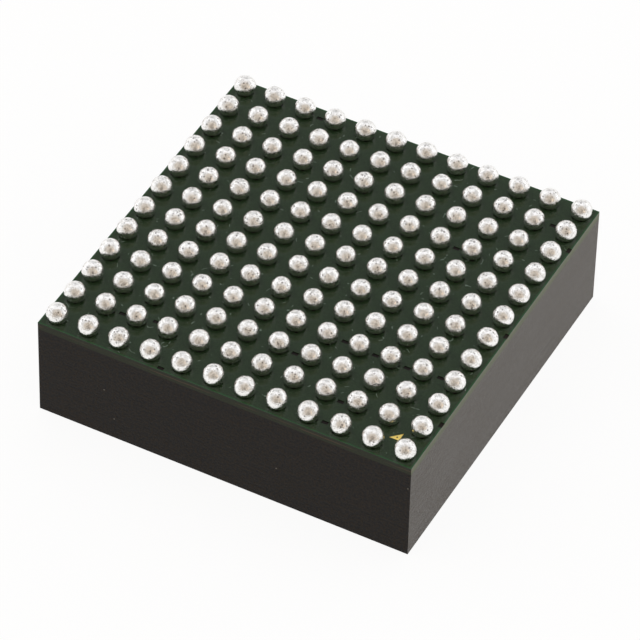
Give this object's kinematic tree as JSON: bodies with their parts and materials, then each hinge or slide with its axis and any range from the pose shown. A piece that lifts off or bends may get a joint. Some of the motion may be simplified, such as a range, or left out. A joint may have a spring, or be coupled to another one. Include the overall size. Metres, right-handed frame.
{
  "type": "digital isolator module",
  "caption": "Square moulded digital isolator module lying on its flat face, with a full grid of solder balls on a green laminate board and a gold corner mark.",
  "frame": {"origin": "centre of the flat moulded face that the module lies on", "axes": "+Z to the solder balls, -Y to the front face, ball A1 in the corner at +X and -Y, ball rows A to M along -X"},
  "size_m": [0.015, 0.015, 0.005],
  "materials": {
    "mould_compound": "sawn black epoxy moulding compound",
    "laminate": "sawn glass-fibre laminate",
    "solder_mask": "glossy dark green solder mask",
    "gold_plating": "gold plating",
    "solder": "bright reflowed tin solder",
    "copper": "copper",
    "bond_wire": "gold wire",
    "silicon": "polished silicon",
    "adhesive": "cured die adhesive",
    "ferrite": "sintered ferrite",
    "capacitor_ceramic": "sintered ceramic",
    "resistor_ceramic": "glazed alumina chip",
    "tin_plating": "matt tin plating",
    "diode_moulding": "moulded epoxy"
  },
  "bodies": {
    "root": {"mould_cap": "mould_compound", "laminate_core": "laminate", "solder_mask_part_side": "solder_mask", "solder_mask_ball_side": "solder_mask", "corner_mark": "gold_plating", "logic_side_coils": "copper", "isolated_side_coils": "copper", "logic_side_chip": "silicon", "isolated_side_chip": "silicon", "logic_chip_adhesive": "adhesive", "isolated_chip_adhesive": "adhesive", "logic_chip_bond_wires": "bond_wire", "isolated_chip_bond_wires": "bond_wire", "transformer_core": "ferrite", "primary_winding": "copper", "secondary_winding": "copper", "logic_side_capacitors": "capacitor_ceramic", "isolated_side_capacitors": "capacitor_ceramic", "logic_capacitor_terminals": "tin_plating", "isolated_capacitor_terminals": "tin_plating", "logic_side_resistors": "resistor_ceramic", "isolated_side_resistors": "resistor_ceramic", "logic_resistor_terminals": "tin_plating", "isolated_resistor_terminals": "tin_plating", "power_inductor": "ferrite", "inductor_terminals": "tin_plating", "rectifier_diodes": "diode_moulding", "diode_leads": "tin_plating", "ball_row_a": "solder", "ball_row_b": "solder", "ball_row_c": "solder", "ball_row_d": "solder", "ball_row_e": "solder", "ball_row_f": "solder", "ball_row_g": "solder", "ball_row_h": "solder", "ball_row_j": "solder", "ball_row_k": "solder", "ball_row_l": "solder", "ball_row_m": "solder"}
  },
  "joints": []
}
